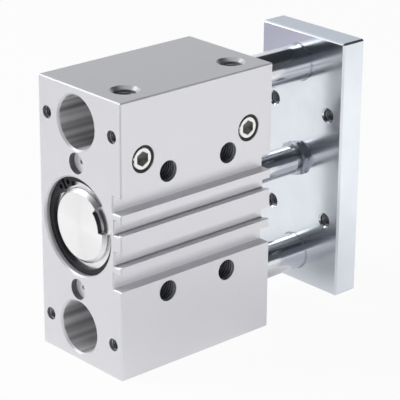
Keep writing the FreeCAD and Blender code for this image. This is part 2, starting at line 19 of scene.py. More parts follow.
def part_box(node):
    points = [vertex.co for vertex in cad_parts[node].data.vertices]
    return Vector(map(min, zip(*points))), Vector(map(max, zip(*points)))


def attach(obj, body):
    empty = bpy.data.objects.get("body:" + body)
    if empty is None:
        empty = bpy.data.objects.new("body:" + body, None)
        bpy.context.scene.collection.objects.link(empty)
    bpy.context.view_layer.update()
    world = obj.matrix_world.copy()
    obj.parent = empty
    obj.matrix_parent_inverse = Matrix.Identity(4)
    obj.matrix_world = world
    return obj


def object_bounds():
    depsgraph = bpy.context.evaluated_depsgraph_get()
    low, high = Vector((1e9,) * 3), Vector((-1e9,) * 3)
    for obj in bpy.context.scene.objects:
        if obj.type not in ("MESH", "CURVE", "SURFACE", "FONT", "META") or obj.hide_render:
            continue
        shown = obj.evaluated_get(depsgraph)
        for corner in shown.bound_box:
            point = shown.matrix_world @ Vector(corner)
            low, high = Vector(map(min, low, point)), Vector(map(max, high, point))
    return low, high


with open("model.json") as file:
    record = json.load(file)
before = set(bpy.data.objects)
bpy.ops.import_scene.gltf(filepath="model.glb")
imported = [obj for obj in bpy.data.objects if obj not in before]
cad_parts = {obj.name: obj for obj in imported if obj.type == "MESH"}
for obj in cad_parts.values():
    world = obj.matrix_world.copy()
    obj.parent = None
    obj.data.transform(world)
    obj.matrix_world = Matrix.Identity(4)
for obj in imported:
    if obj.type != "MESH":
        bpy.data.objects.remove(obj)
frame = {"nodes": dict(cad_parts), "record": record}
cad_low, cad_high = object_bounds()

MM = 0.001
WHITE = "FFFFFF"
UP = (0, 0, 1)
DOWN = (0, 0, -1)
FLOOR = cad_low.z
# Cards on the floor lie in layers this far apart, so that no two that overlap share a plane.
FLOOR_LAYER = 0.1 * MM
log = logging.getLogger("guided_cylinder")

Colour = tuple[float, float, float, float]


class Lay(Enum):
    """How the marks of a surface run."""

    BLASTED = "grain in every direction"
    TURNED = "rings about the cylinder axis"
    GROUND = "fine bands round a bar along the stroke"
    MILLED = "fine lines along one edge"
    MOULDED = "soft cloudy skin"
    SINTERED = "grains with pores between them"


class Axis(Enum):
    """Direction of a row of holes."""

    X = Vector((1, 0, 0))
    Y = Vector((0, 1, 0))
    Z = Vector((0, 0, 1))


def linear(code: str) -> Colour:
    """Turns an sRGB hex colour to linear light.

    Args:
        code: Six hex digits, as in "D5D4D8".

    Returns:
        Linear red, green, blue and an alpha of one.
    """
    shares = [int(code[k:k + 2], 16) / 255 for k in (0, 2, 4)]
    red, green, blue = (s / 12.92 if s <= 0.04045 else ((s + 0.055) / 1.055) ** 2.4 for s in shares)
    return red, green, blue, 1.0


def add_node(tree: bpy.types.NodeTree, kind: str, inputs: dict[Any, Any] | None = None,
             **settings: Any) -> bpy.types.Node:
    """Adds a node with its settings, and sets or links its inputs.

    Args:
        tree: Node tree that takes the node.
        kind: Type name of the node.
        inputs: Plain values or output sockets, by input name or number.
        settings: Properties of the node itself.

    Returns:
        The new node.
    """
    node = tree.nodes.new(kind)
    for key, value in settings.items():
        setattr(node, key, value)
    for key, value in (inputs or {}).items():
        if isinstance(value, bpy.types.NodeSocket):
            tree.links.new(value, node.inputs[key])
        else:
            node.inputs[key].default_value = value
    return node


def blank_material(name: str) -> bpy.types.Material:
    """Makes a material with an empty node tree.

    Args:
        name: Name of the material.

    Returns:
        The new material.
    """
    made = bpy.data.materials.new(name)
    made.use_nodes = True
    made.node_tree.nodes.clear()
    return made


def linked_object(name: str, mesh: bmesh.types.BMesh, material: bpy.types.Material) -> bpy.types.Object:
    """Turns a bmesh into an object of the scene.

    Args:
        name: Name of the object.
        mesh: Its mesh, which is freed.
        material: Its finish.

    Returns:
        The new object.
    """
    data = bpy.data.meshes.new(name)
    mesh.to_mesh(data)
    mesh.free()
    data.materials.append(material)
    made = bpy.data.objects.new(name, data)
    bpy.context.scene.collection.objects.link(made)
    return made


@dataclass(frozen=True)
class BoreFamily:
    """Equal round cuts on a rectangle, all along one axis, in millimetres."""

    axis: Axis
    centre: tuple[float, float, float]
    half_pitch: tuple[float, float, float]
    radius: float
    half_depth: float
    tone: str
    gloss: float
    # A second tone, painted as streaks of reflected light along the hole.
    reflection_streak: str | None = None
    streak_width: float = 5.0
    streak_edges: tuple[float, float] = (0.35, 0.65)
    end_weight: float = 1000.0

    def colour(self, tree: bpy.types.NodeTree, place: bpy.types.NodeSocket) -> Any:
        """Gives the tone of the hole walls, with painted reflection streaks along their axis where a streak
        tone is given.

        Args:
            tree: Node tree of the material.
            place: Object coordinates.

        Returns:
            A plain colour, or the socket of a streaked one.
        """
        if self.reflection_streak is None:
            return linear(self.tone)
        across = Vector((1, 1, 1)) - self.axis.value
        drawn = add_node(tree, "ShaderNodeMapping", {"Vector": place, "Scale": across}).outputs[0]
        per_metre = 1 / (self.streak_width * MM)
        low, high = self.streak_edges
        streaks = add_node(tree, "ShaderNodeTexNoise", {"Vector": drawn, "Scale": per_metre,
                                                        "Detail": 1.0}).outputs[0]
        streaks = add_node(tree, "ShaderNodeMapRange", {"Value": streaks, "From Min": low,
                                                        "From Max": high}).outputs[0]
        return add_node(tree, "ShaderNodeMix", {0: streaks, 6: linear(self.reflection_streak), 7: linear(self.tone)},
                        data_type="RGBA").outputs[2]

    def mask(self, tree: bpy.types.NodeTree, place: bpy.types.NodeSocket) -> bpy.types.NodeSocket:
        """Builds a mask that is one inside the holes.

        Args:
            tree: Node tree of the material.
            place: Object coordinates.

        Returns:
            Socket with one inside the holes and zero outside.
        """
        along = self.axis.value
        across = Vector((1, 1, 1)) - along
        reach = Vector(self.half_pitch) * MM + along * self.half_depth * MM
        # A step past an end weighs far more than one outwards, so the mask ends flat.
        flat_ends = across + along * self.end_weight
        moved = add_node(tree, "ShaderNodeVectorMath", {0: place, 1: Vector(self.centre) * MM},
                         operation="SUBTRACT").outputs[0]
        folded = add_node(tree, "ShaderNodeVectorMath", {0: moved}, operation="ABSOLUTE").outputs[0]
        off = add_node(tree, "ShaderNodeVectorMath", {0: folded, 1: reach}, operation="SUBTRACT").outputs[0]
        held = add_node(tree, "ShaderNodeVectorMath", {0: off, 1: -across}, operation="MAXIMUM").outputs[0]
        cut = add_node(tree, "ShaderNodeVectorMath", {0: held, 1: flat_ends}, operation="MULTIPLY").outputs[0]
        gap = add_node(tree, "ShaderNodeVectorMath", {0: cut}, operation="LENGTH").outputs["Value"]
        return add_node(tree, "ShaderNodeMath", {0: gap, 1: self.radius * MM},
                        operation="LESS_THAN").outputs[0]


@dataclass(frozen=True)
class Finish:
    """One real surface: its two tones, gloss and tool marks. Lengths are in millimetres."""

    name: str
    light: str
    dark: str
    metallic: float
    smoothest: float
    roughest: float
    lay: Lay
    spacing: float
    relief: float
    axis_y: float = 0.0
    anisotropy: float = 0.0
    drawn_out: float = 0.02
    wave_radians: float = 20.0

    def marks(self, tree: bpy.types.NodeTree, place: bpy.types.NodeSocket) -> bpy.types.NodeSocket:
        """Draws the tool marks of this surface.

        Args:
            tree: Node tree of the material.
            place: Object coordinates.

        Returns:
            Socket that runs from zero in the marks to one between them.
        """
        per_metre = 1 / (self.spacing * MM)
        centred = add_node(tree, "ShaderNodeMapping", {
            "Vector": place, "Location": (0, -self.axis_y * MM, 0)}).outputs[0]
        if self.lay is Lay.TURNED:
            # The wave texture runs through this many radians in one unit of length.
            rings = 2 * math.pi / self.wave_radians * per_metre
            return add_node(tree, "ShaderNodeTexWave", {"Vector": centred, "Scale": rings, "Distortion": 0.6},
                            wave_type="RINGS", rings_direction="X").outputs["Fac"]
        if self.lay in (Lay.GROUND, Lay.MILLED):
            across = self.drawn_out if self.lay is Lay.GROUND else 1
            drawn = add_node(tree, "ShaderNodeMapping", {
                "Vector": centred, "Scale": (1, across, self.drawn_out)}).outputs[0]
            return add_node(tree, "ShaderNodeTexNoise", {"Vector": drawn, "Scale": per_metre,
                                                         "Detail": 2.0}).outputs[0]
        if self.lay is Lay.SINTERED:
            return add_node(tree, "ShaderNodeTexVoronoi", {"Vector": centred, "Scale": per_metre}).outputs[0]
        detail = 4.0 if self.lay is Lay.MOULDED else 2.0
        return add_node(tree, "ShaderNodeTexNoise", {"Vector": centred, "Scale": per_metre,
                                                     "Detail": detail}).outputs[0]

    def tones(self, tree: bpy.types.NodeTree, place: bpy.types.NodeSocket, marks: bpy.types.NodeSocket,
              ) -> tuple[bpy.types.NodeSocket, bpy.types.NodeSocket]:
        """Gives the colour and the roughness of the surface.

        Args:
            tree: Node tree of the material.
            place: Object coordinates, not used here.
            marks: Tool marks, from zero to one.

        Returns:
            Sockets of the colour and of the roughness.
        """
        colour = add_node(tree, "ShaderNodeMix", {0: marks, 6: linear(self.dark), 7: linear(self.light)},
                          data_type="RGBA").outputs[2]
        rough = add_node(tree, "ShaderNodeMapRange", {"Value": marks, "To Min": self.roughest,
                                                      "To Max": self.smoothest}).outputs[0]
        return colour, rough

    def material(self) -> bpy.types.Material:
        """Builds the node material of this finish.

        Returns:
            The material, named for what it is and how it was made.
        """
        made = blank_material(self.name)
        tree = made.node_tree
        place = add_node(tree, "ShaderNodeTexCoord").outputs["Object"]
        marks = self.marks(tree, place)
        colour, rough = self.tones(tree, place, marks)
        bump = add_node(tree, "ShaderNodeBump", {"Height": marks, "Distance": self.relief * MM,
                                                 "Strength": 1.0}).outputs[0]
        shader = add_node(tree, "ShaderNodeBsdfPrincipled", {
            "Base Color": colour, "Roughness": rough, "Metallic": self.metallic, "Normal": bump,
            "Anisotropic": self.anisotropy})
        if self.anisotropy:
            round_axis = add_node(tree, "ShaderNodeTangent", direction_type="RADIAL", axis="X").outputs[0]
            tree.links.new(round_axis, shader.inputs["Tangent"])
        add_node(tree, "ShaderNodeOutputMaterial", {"Surface": shader.outputs[0]})
        return made


@dataclass(frozen=True)
class BoredFinish(Finish):
    """A finish whose holes and cut zones take other tones, mostly painted shade and in places painted light.
    """

    holes: tuple[BoreFamily, ...] = ()

    def tones(self, tree: bpy.types.NodeTree, place: bpy.types.NodeSocket, marks: bpy.types.NodeSocket,
              ) -> tuple[bpy.types.NodeSocket, bpy.types.NodeSocket]:
        """Gives the colour and the roughness, with those of the holes in their place.

        Args:
            tree: Node tree of the material.
            place: Object coordinates.
            marks: Tool marks, from zero to one.

        Returns:
            Sockets of the colour and of the roughness.
        """
        colour, rough = super().tones(tree, place, marks)
        for family in self.holes:
            inside = family.mask(tree, place)
            colour = add_node(tree, "ShaderNodeMix", {0: inside, 6: colour, 7: family.colour(tree, place)},
                              data_type="RGBA").outputs[2]
            rough = add_node(tree, "ShaderNodeMix", {0: inside, 2: rough, 3: family.gloss}).outputs[0]
        return colour, rough


def mount(name: str) -> dict[str, Any]:
    """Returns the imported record's entry of one mount."""
    return next(m for m in frame["record"]["mounts"] if m["name"] == name)


def dress(node: str, material: bpy.types.Material) -> None:
    """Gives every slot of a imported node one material.

    Args:
        node: Name of the node.
        material: Finish that it takes.
    """
    for slot in frame["nodes"][node].material_slots:
        slot.material = material
    log.info("dressed %s in %s", node, material.name)


def finished_piece(name: str, mesh: bmesh.types.BMesh, material: bpy.types.Material, body: str) -> None:
    """Turns a bmesh into a piece that rides on a body.

    Args:
        name: Name of the piece.
        mesh: Its mesh, with its place in it. It is freed.
        material: Its finish.
        body: Body that carries it.
    """
    piece = linked_object(name, mesh, material)
    piece.data.shade_smooth()
    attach(piece, body)
    log.info("built %s on %s with %d faces", name, body, len(piece.data.polygons))


@dataclass(frozen=True)
class ThreadForm:
    """Ridge of a screw thread, in millimetres."""

    pitch: float
    height: float
    foot: float = 0.84
    crest: float = 0.16
    sunk: float = 0.03
    steps: int = 40

    def wind(self, mesh: bmesh.types.BMesh, start: Vector, along: Vector, wall: float, length: float,
             outside: bool) -> None:
        """Winds one closed ridge on a round wall.

        Args:
            mesh: Bmesh that takes the ridge.
            start: Point on the axis where the thread starts, in metres.
            along: Unit vector from there along the thread.
            wall: Radius of the wall, in millimetres.
            length: Length of the thread, in millimetres.
            outside: True on a bolt, false in a hole.
        """
        turns = (length - self.pitch) / self.pitch
        out = 1 if outside else -1
        foot = self.pitch * self.foot / 2
        crest = self.pitch * self.crest / 2
        low = wall - out * self.sunk
        high = wall + out * self.height
        middle = self.pitch / 2
        section = ((middle - foot, low), (middle - crest, high), (middle + crest, high), (middle + foot, low))
        side = along.orthogonal().normalized()
        points = [mesh.verts.new(start + (along * shift + side * reach) * MM) for shift, reach in section]
        ring = [mesh.edges.new((points[k - 1], points[k])) for k in range(len(points))]
        count = max(1, round(turns * self.steps))
        before = set(mesh.edges)
        bmesh.ops.spin(mesh, geom=points + ring, cent=start, axis=along, angle=2 * math.pi * turns,
                       steps=count, dvec=along * (self.pitch * turns / count * MM))
        fresh = [e for e in mesh.edges if e in ring or e not in before]
        open_edges = [e for e in fresh if e.is_boundary]
        bmesh.ops.holes_fill(mesh, edges=open_edges, sides=len(section))
        bmesh.ops.recalc_face_normals(mesh, faces=mesh.faces)


@dataclass
class HousingBlock:
    """The slotted block with its tapped holes and air ports. Lengths are in millimetres."""

    screw_thread: ThreadForm = ThreadForm(pitch=1.25, height=0.5)
    side_thread: ThreadForm = ThreadForm(pitch=1.75, height=0.6)
    port_thread: ThreadForm = ThreadForm(pitch=1.34, height=0.5)
    rear_thread_length: float = 15.0
    rear_hole_tip: float = 4.0
    side_thread_length: float = 16.0
    first_turn: float = 0.5
    hole_margin: float = 0.06

    def patterned(self, name: str) -> tuple[list[Vector], Vector, float]:
        """Reads a bolt pattern of the record.

        Args:
            name: Name of the mount.

        Returns:
            The mouths of its holes in metres, the outward direction and the radius in millimetres.
        """
        entry = mount(name)
        outward = Vector(entry["axis"])
        dims = entry["dims"]
        rows = [v.value for v in Axis if abs(v.value.dot(outward)) < 0.5]
        first = rows[0] * dims["spacing_x_mm"] / 2 * MM
        second = rows[1] * dims["spacing_y_mm"] / 2 * MM
        centre = Vector(entry["pos_m"])
        mouths = [centre + first * a + second * b for a in (-1, 1) for b in (-1, 1)]
        return mouths, outward, dims["hole_r_mm"]

    def finish(self) -> BoredFinish:
        """Works out the block's finish, with the holes that were cut into it.

        Returns:
            Blasted and natural anodised aluminium: a pale, even satin with no grain to follow.
        """
        low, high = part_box("housing")
        middle = (low + high) / 2 / MM
        length = (high.x - low.x) / MM
        sides = mount("side_tapped_holes")["dims"]
        rear = mount("rear_tapped_holes")["dims"]
        ports = [mount(n) for n in ("rear_air_port", "front_air_port")]
        locating = mount("upper_locating_hole")
        locating_x, locating_y, locating_z = (place / MM for place in locating["pos_m"])
        locating_half = locating["dims"]["length_mm"] / 2
        bush_low, bush_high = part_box("upper_rear_guide_bush")
        axis_y = (bush_low.y + bush_high.y) / 2 / MM
        guide_z = (bush_low.z + bush_high.z) / 2 / MM
        guide_r = (bush_high.z - bush_low.z) / 2 / MM
        port_x = [p["pos_m"][0] / MM for p in ports]
        port_z = ports[0]["pos_m"][2] / MM
        port_r = ports[0]["dims"]["r_mm"]
        port_half = ports[0]["dims"]["length_mm"] / 2
        margin = self.hole_margin
        locating_r = locating["dims"]["r_mm"] + margin
        holes = (
            # The guide bores take a pale tone with painted reflection streaks along their axis.
            BoreFamily(Axis.X, (middle.x, axis_y, 0), (0, 0, guide_z), guide_r + margin, length,
                       tone="F8F8FA", gloss=0.6, reflection_streak="9C9CA0"),
            # The tapped holes and air ports are painted a darker shade inside.
            BoreFamily(Axis.Y, (middle.x, 0, 0), (sides["spacing_x_mm"] / 2, 0, sides["spacing_y_mm"] / 2),
                       sides["hole_r_mm"] + margin, length, tone="B4B4B8", gloss=0.4),
            BoreFamily(Axis.X, (0, 0, 0), (0, rear["spacing_x_mm"] / 2, rear["spacing_y_mm"] / 2),
                       rear["hole_r_mm"] + margin, self.rear_thread_length + self.rear_hole_tip,
                       tone="B4B4B8", gloss=0.36),
            BoreFamily(Axis.Z, (sum(port_x) / 2, ports[0]["pos_m"][1] / MM, port_z),
                       ((port_x[1] - port_x[0]) / 2, 0, 0), port_r + margin, port_half,
                       tone="BCBCC0", gloss=0.34),
            # The locating holes get a painted shade on the wall and a painted highlight on the floor.
            BoreFamily(Axis.X, (locating_x, locating_y, 0), (0, 0, locating_z), locating_r,
                       locating_half - margin, tone="70707A", gloss=0.4),
            BoreFamily(Axis.X, (locating_x + locating_half, locating_y, 0), (0, 0, locating_z), locating_r,
                       margin, tone=WHITE, gloss=0.55),
        )
        # Blasting leaves a fine matt skin, and the clear oxide lets the pale metal shine softly through.
        return BoredFinish(
            name="anodised_aluminium_blasted", light="E2E2E5", dark="DCDCE0", metallic=0.5, smoothest=0.36,
            roughest=0.44, lay=Lay.BLASTED, spacing=0.5, relief=0.01, holes=holes)

    def threads(self, bright: bpy.types.Material, dark: bpy.types.Material) -> None:
        """Cuts the visible threads of the block's tapped holes and ports.

        Args:
            bright: Finish of a thread that was cut after anodising.
            dark: Finish of a thread deep in a hole, painted a darker shade.
        """
        patterns = (("rear_tapped_holes", self.screw_thread, self.rear_thread_length, bright),
                    ("side_tapped_holes", self.side_thread, self.side_thread_length, dark),
                    ("back_tapped_holes", self.side_thread, self.side_thread_length, dark))
        for name, form, length, material in patterns:
            mouths, outward, radius = self.patterned(name)
            mesh = bmesh.new()
            for mouth in mouths:
                form.wind(mesh, mouth - outward * self.first_turn * MM, -outward, radius, length, False)
            finished_piece(name.replace("holes", "threads"), mesh, material, "housing")
        mesh = bmesh.new()
        for name in ("rear_air_port", "front_air_port"):
            entry = mount(name)
            outward = Vector(entry["axis"])
            top = Vector(entry["pos_m"]) + outward * entry["dims"]["length_mm"] / 2 * MM
            self.port_thread.wind(mesh, top - outward * self.first_turn * MM, -outward, entry["dims"]["r_mm"],
                                  entry["dims"]["length_mm"] - 2 * self.first_turn, False)
        finished_piece("air_port_threads", mesh, bright, "housing")

    def build(self, bright: bpy.types.Material, dark: bpy.types.Material) -> None:
        """Dresses the block and adds its threads.

        Args:
            bright: Finish of a thread that was cut after anodising.
            dark: Finish of a thread deep in a hole, painted a darker shade.
        """
        dress("housing", self.finish().material())
        self.threads(bright, dark)


@dataclass
class EndCaps:
    """Turned caps in the ends of the centre bore, with rings, seals and stops. Lengths in millimetres."""

    ring_pitch: float = 0.7
    notch_radius: float = 14.5
    notch_depth: float = 2.5
    notch_margin: float = 0.2

    def build(self, axis_y: float, rubber: bpy.types.Material) -> None:
        """Dresses the caps and what sits in them.

        Args:
            axis_y: Place of the cylinder axis across the block, in millimetres.
            rubber: Finish of the seals.
        """
        # A turned face is bright, with fine rings that spread the light into a soft fan. The real feed is
        # about 0.1 mm, which is drawn coarser so that it shows.
        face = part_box("rear_end_cap")[0].x / MM
        # The notch wall is painted a dark shade.
        shaded_notch = BoreFamily(Axis.X, (face + self.notch_margin + self.notch_depth / 2, axis_y, 0), (0, 0, 0),
                           self.notch_radius + self.notch_margin, self.notch_depth / 2,
                           tone="55555A", gloss=0.4)
        turned = BoredFinish(name="aluminium_turned", light=WHITE, dark="F8F8F9", metallic=1.0,
                             smoothest=0.28, roughest=0.38, lay=Lay.TURNED, spacing=self.ring_pitch,
                             relief=0.002, axis_y=axis_y, anisotropy=0.8, holes=(shaded_notch,)).material()
        # Phosphated spring steel is nearly black, and the oil on it gives a dull gloss.
        blacked = Finish(name="spring_steel_phosphated", light="34343A", dark="1E1E22", metallic=0.6,
                         smoothest=0.35, roughest=0.5, lay=Lay.MOULDED, spacing=1.2, relief=0.01).material()
        for node in ("rear_end_cap", "front_bearing_cap"):
            dress(node, turned)
        for node in ("rear_retaining_ring", "front_retaining_ring"):
            dress(node, blacked)
        for node in ("rear_cap_o_ring", "front_cap_o_ring", "rear_cushion_pad", "front_cushion_pad",
                     "rod_wiper_seal"):
            dress(node, rubber)


@dataclass
class BlankingPlugs:
    """Screw plugs in the side ports, with their flat seals. Lengths are in millimetres."""

    socket_radius: float = 4.1
    socket_depth: float = 7.0
    face_margin: float = 0.1

    def build(self, rubber: bpy.types.Material) -> None:
        """Dresses the plugs and their seals.

        Args:
            rubber: Finish of the seals.
        """
        # Bright nickel on a turned plug is a white metal with a clear gloss.
        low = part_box("rear_blanking_plug")[0]
        far_low, far_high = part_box("front_blanking_plug")
        middle = (low + far_high) / 2 / MM
        depth = low.y / MM + self.face_margin + self.socket_depth / 2
        reach = (far_low.x - low.x) / 2 / MM
        # The hex sockets are painted a darker shade inside.
        shaded_sockets = (BoreFamily(Axis.Y, (middle.x, depth, middle.z), (reach, 0, 0), self.socket_radius,
                              self.socket_depth / 2, tone="C8C8C4", gloss=0.35),)
        plug = BoredFinish(name="steel_nickel_plated", light="F4F4F3", dark="DEDEDC", metallic=1.0,
                           smoothest=0.16, roughest=0.28, lay=Lay.MOULDED, spacing=1.5, relief=0.006,
                           holes=shaded_sockets).material()
        for node in ("rear_blanking_plug", "front_blanking_plug"):
            dress(node, plug)
        for node in ("rear_plug_seal", "front_plug_seal"):
            dress(node, rubber)


@dataclass
class GuideUnit:
    """The two guide rods with their bushes, wipers and screws."""

    def build(self, rubber: bpy.types.Material, chrome: bpy.types.Material, bronze: bpy.types.Material,
              plated: bpy.types.Material) -> None:
        """Dresses the guides.

        Args:
            rubber: Finish of the wipers.
            chrome: Finish of the rods.
            bronze: Finish of the bushes.
            plated: Finish of the screws.
        """
        for level in ("upper", "lower"):
            dress(f"{level}_guide_rod", chrome)
            dress(f"{level}_guide_wiper", rubber)
            for end in ("rear", "front"):
                dress(f"{level}_{end}_guide_bush", bronze)
        dress("guide_rod_screws", plated)


@dataclass
class YokePlate:
    """The thick plate that ties the rods together. Lengths are in millimetres."""

    hole_thread: ThreadForm = ThreadForm(pitch=1.25, height=0.5)
    edge_shade_radius: float = 50.0
    edge_shade_bite: float = 1.2

    def build(self, thread: bpy.types.Material, block: HousingBlock) -> None:
        """Dresses the plate and adds the threads of its load holes.

        Args:
            thread: Finish of the cut threads.
            block: Block, which reads the bolt patterns.
        """
        mouths, outward, radius = block.patterned("plate_tapped_holes")
        low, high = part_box("yoke_plate")
        thickness = (high.x - low.x) / MM
        dims = mount("plate_tapped_holes")["dims"]
        middle = (low + high) / 2 / MM
        # The narrow top and bottom edges are painted a darker shade and are duller. A wide circle along Y
        # marks each one.
        edge_shade_height = high.z / MM - middle.z + self.edge_shade_radius - self.edge_shade_bite
        # The load holes are painted a dark shade inside.
        holes = (BoreFamily(Axis.X, tuple(middle), (0, dims["spacing_x_mm"] / 2, dims["spacing_y_mm"] / 2),
                            radius + block.hole_margin, thickness, tone="6A6E74", gloss=0.3),
                 BoreFamily(Axis.Y, tuple(middle), (0, 0, edge_shade_height), self.edge_shade_radius,
                            (high.y - low.y) / MM, tone="D6DCE4", gloss=0.36))
        # Ground and bright zinc plated steel is a cool mirror with a faint cloud in it.
        dress("yoke_plate", BoredFinish(
            name="steel_ground_bright_zinc", light="EEF2F7", dark="E0E6ED", metallic=1.0, smoothest=0.12,
            roughest=0.2, lay=Lay.MOULDED, spacing=14.0, relief=0.02, holes=holes).material())
        mesh = bmesh.new()
        length = thickness - 2 * (high.x - mouths[0].x) / MM
        for mouth in mouths:
            self.hole_thread.wind(mesh, mouth, -outward, radius, length, False)
        finished_piece("plate_tapped_threads", mesh, thread, "carriage")


@dataclass
class PistonUnit:
    """Piston, piston rod and the nuts on it. Lengths are in millimetres."""

    rod_thread: ThreadForm = ThreadForm(pitch=1.25, height=0.3)
    rod_thread_radius: float = 6.0
    thread_run_out: float = 2.2

    def exposed_thread(self, axis_y: float, material: bpy.types.Material) -> None:
        """Winds the short thread that shows between the rod and its lock nut.

        Args:
            axis_y: Place of the cylinder axis across the block, in millimetres.
            material: Finish of the thread.
        """
        nut_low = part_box("rod_lock_nut")[0]
        start = Vector((nut_low.x - self.thread_run_out * MM, axis_y * MM, 0))
        mesh = bmesh.new()
        self.rod_thread.wind(mesh, start, Axis.X.value, self.rod_thread_radius, self.thread_run_out, True)
        finished_piece("rod_end_thread", mesh, material, "carriage")

    def build(self, axis_y: float, rubber: bpy.types.Material, chrome: bpy.types.Material,
              bronze: bpy.types.Material, plated: bpy.types.Material) -> None:
        """Dresses the piston and its rod.

        Args:
            axis_y: Place of the cylinder axis across the block, in millimetres.
            rubber: Finish of the seals.
            chrome: Finish of the rod.
            bronze: Finish of the rod bush.
            plated: Finish of the nuts.
        """
        turned = bpy.data.materials["aluminium_turned"]
        # Filled PTFE is a dull brown tape with darker specks.
        tape = Finish(name="ptfe_bronze_filled", light="7A6650", dark="4E4032", metallic=0.0, smoothest=0.5,
                      roughest=0.65, lay=Lay.SINTERED, spacing=0.4, relief=0.005).material()
        # Bonded ferrite is a matt charcoal with a slight sparkle of grains.
        ferrite = Finish(name="ferrite_bonded", light="4A4A4E", dark="2C2C30", metallic=0.1, smoothest=0.5,
                         roughest=0.7, lay=Lay.SINTERED, spacing=0.5, relief=0.006).material()
        for node in ("piston_rear_half", "piston_front_half"):
            dress(node, turned)
        for node in ("piston_rear_seal", "piston_front_seal"):
            dress(node, rubber)
        dress("piston_guide_ring", tape)
        dress("piston_magnet_ring", ferrite)
        dress("piston_rod", chrome)
        dress("rod_bush", bronze)
        for node in ("rod_lock_nut", "piston_nut"):
            dress(node, plated)
        self.exposed_thread(axis_y, plated)


@dataclass(frozen=True)
class ViewPoint:
    """Camera of the photograph. Angles in degrees, lengths in millimetres, picture sizes in pixels."""

    azimuth: float = -42.355
    elevation: float = 21.383
    roll: float = 0.475
    across: float = 60.218
    upward: float = 14.408
    distance: float = 963.395
    focal_pixels: float = 1916.41
    frame_pixels: float = 400.0
    sensor: float = 36.0

    def place(self) -> None:
        """Makes the camera and sets it as the scene's."""
        a, e, r = (math.radians(v) for v in (self.azimuth, self.elevation, self.roll))
        back = Vector((math.sin(a) * math.cos(e), -math.cos(a) * math.cos(e), math.sin(e)))
        right = Vector(UP).cross(back).normalized()
        up = back.cross(right)
        turned_right = right * math.cos(r) + up * math.sin(r)
        turned_up = up * math.cos(r) - right * math.sin(r)
        data = bpy.data.cameras.new("camera")
        data.sensor_width = self.sensor
        data.lens = self.focal_pixels / self.frame_pixels * self.sensor
        camera = bpy.data.objects.new("camera", data)
        where = (turned_right * self.across + turned_up * self.upward + back * self.distance) * MM
        turn = Matrix((turned_right, turned_up, back)).transposed().to_4x4()
        camera.matrix_world = Matrix.Translation(where) @ turn
        bpy.context.scene.collection.objects.link(camera)
        bpy.context.scene.camera = camera


@dataclass(frozen=True)
class SoftBox:
    """A large soft lamp that looks at the part and stays out of its reflections. Lengths in metres."""

    name: str
    place: tuple[float, float, float]
    width: float
    height: float
    power: float

    def light(self, target: Vector) -> None:
        """Hangs the lamp and turns it to a target.

        Args:
            target: Point that it looks at.
        """
        data = bpy.data.lights.new(self.name, "AREA")
        data.shape = "RECTANGLE"
        data.size = self.width
        data.size_y = self.height
        data.energy = self.power
        lamp = bpy.data.objects.new(self.name, data)
        lamp.location = self.place
        lamp.rotation_mode = "QUATERNION"
        lamp.rotation_quaternion = (target - lamp.location).to_track_quat("-Z", "Y")
        lamp.visible_glossy = False
        bpy.context.scene.collection.objects.link(lamp)


@dataclass(frozen=True)
class StudioCard:
    """A plain card beside the set, which only reflections show. Lengths in metres."""

    name: str
    place: tuple[float, float, float]
    width: float
    height: float
    tone: str
    fade: float
    facing: tuple[float, float, float] | None = None
    strength: float = 1.0

    def stand(self, target: Vector) -> None:
        """Stands the card and turns it to a target, or where it is told to face.

        Args:
            target: Point that it faces unless told otherwise.
        """
        made = blank_material(self.name)
        tree = made.node_tree
        place = add_node(tree, "ShaderNodeTexCoord").outputs["Object"]
        to_edge = (2 / self.width, 2 / self.height, 1)
        spread = add_node(tree, "ShaderNodeMapping", {"Vector": place, "Scale": to_edge})
        inward = add_node(tree, "ShaderNodeTexGradient", {"Vector": spread.outputs[0]},
                          gradient_type="SPHERICAL")
        share = add_node(tree, "ShaderNodeMapRange", {"Value": inward.outputs["Fac"], "From Max": self.fade})
        glow = add_node(tree, "ShaderNodeEmission", {"Color": linear(self.tone), "Strength": self.strength})
        clear = add_node(tree, "ShaderNodeBsdfTransparent")
        mixed = add_node(tree, "ShaderNodeMixShader", {0: share.outputs[0], 1: clear.outputs[0],
                                                       2: glow.outputs[0]})
        add_node(tree, "ShaderNodeOutputMaterial", {"Surface": mixed.outputs[0]})
        where = Vector(self.place)
        look = Vector(self.facing) if self.facing else target - where
        turn = look.to_track_quat("Z", "Y").to_matrix().to_4x4()
        mesh = bmesh.new()
        bmesh.ops.create_grid(mesh, x_segments=1, y_segments=1, size=0.5,
                              matrix=Matrix.Diagonal((self.width, self.height, 1, 1)))
        card = linked_object(self.name, mesh, made)
        card.matrix_world = Matrix.Translation(where) @ turn
        card.visible_camera = False
        card.visible_diffuse = False
        card.visible_shadow = False


def on_floor(across: float, back: float, layer: int) -> tuple[float, float, float]:
    """Gives a place on the floor.

    Args:
        across: Place along X, in metres.
        back: Place along Y, in metres.
        layer: Number of the layer that a card lies in, counted from the floor.

    Returns:
        The point, in metres.
    """
    return across, back, FLOOR + layer * FLOOR_LAYER


